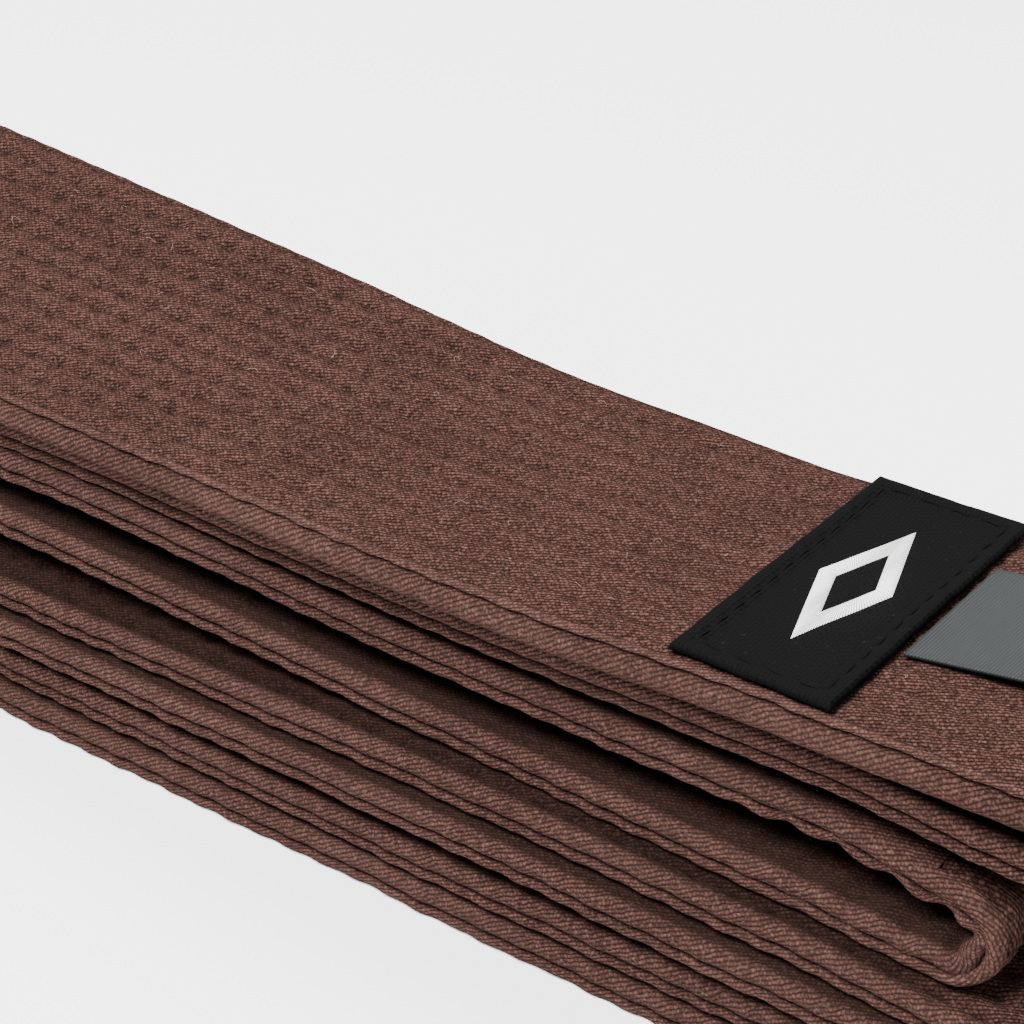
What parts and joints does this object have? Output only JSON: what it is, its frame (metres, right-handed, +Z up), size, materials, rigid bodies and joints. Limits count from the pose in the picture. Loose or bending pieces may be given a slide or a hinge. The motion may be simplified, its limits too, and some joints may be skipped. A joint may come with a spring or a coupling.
{
  "type": "martial arts belt",
  "caption": "Brown woven martial arts belt folded flat into a stack, with a sewn label and a ribbon tag on top.",
  "frame": {"origin": "under the middle of the folded stack, on the surface it lies on", "axes": "+X along the stack towards the two belt ends, +Y across the belt, +Z up through the runs"},
  "size_m": [0.335, 0.0452, 0.0403],
  "materials": {
    "cover_cloth": "brown cotton twill, matt, slightly fuzzy",
    "core_canvas": "undyed cotton canvas plies, matt",
    "cover_thread": "brown sewing thread",
    "label_cloth": "black woven patch with folded border",
    "label_thread": "black sewing thread",
    "emblem_thread": "white embroidery thread, slight sheen",
    "tag_ribbon": "grey satin ribbon"
  },
  "bodies": {
    "lower_half": {"cover_run_5": "cover_cloth", "core_run_5": "core_canvas", "cover_run_6": "cover_cloth", "core_run_6": "core_canvas", "cover_run_7": "cover_cloth", "core_run_7": "core_canvas", "cover_run_8": "cover_cloth", "core_run_8": "core_canvas", "cover_fold_5_8": "cover_cloth", "core_fold_5_8": "core_canvas", "cover_fold_6_7": "cover_cloth", "core_fold_6_7": "core_canvas", "cover_fold_1_8": "cover_cloth", "core_fold_1_8": "core_canvas", "cover_fold_2_7": "cover_cloth", "core_fold_2_7": "core_canvas", "cover_fold_3_6": "cover_cloth", "core_fold_3_6": "core_canvas", "cover_fold_4_5": "cover_cloth", "core_fold_4_5": "core_canvas"},
    "upper_half": {"cover_run_1": "cover_cloth", "core_run_1": "core_canvas", "cover_run_2": "cover_cloth", "core_run_2": "core_canvas", "cover_run_3": "cover_cloth", "core_run_3": "core_canvas", "cover_run_4": "cover_cloth", "core_run_4": "core_canvas", "cover_fold_3_4": "cover_cloth", "core_fold_3_4": "core_canvas", "turned_in_plain_end": "cover_cloth", "end_stitching_plain_end": "cover_thread"},
    "label_end": {"cover_label_end": "cover_cloth", "core_label_end": "core_canvas", "turned_in_label_end": "cover_cloth", "end_stitching_label_end": "cover_thread", "label_patch": "label_cloth", "label_border_stitching": "label_thread", "label_emblem": "emblem_thread"},
    "size_tag": {"size_tag": "tag_ribbon"}
  },
  "joints": [
    {"name": "upper_half_unfold", "type": "hinge", "parent": "lower_half", "child": "upper_half", "pos_m": [-0.14852, 0, 0.01895], "axis": [0, -1, 0], "range_deg": [0, 179], "deforming": ["cover_fold_1_8", "core_fold_1_8", "cover_fold_2_7", "core_fold_2_7", "cover_fold_3_6", "core_fold_3_6", "cover_fold_4_5", "core_fold_4_5"]},
    {"name": "label_end_lift", "type": "hinge", "parent": "upper_half", "child": "label_end", "pos_m": [0.05998, 0, 0.0379], "axis": [0, 1, 0], "range_deg": [-75, 0]},
    {"name": "size_tag_flip", "type": "hinge", "parent": "label_end", "child": "size_tag", "pos_m": [0.13068, 0, 0.03845], "axis": [0, 1, 0], "range_deg": [-130, 0]}
  ]
}
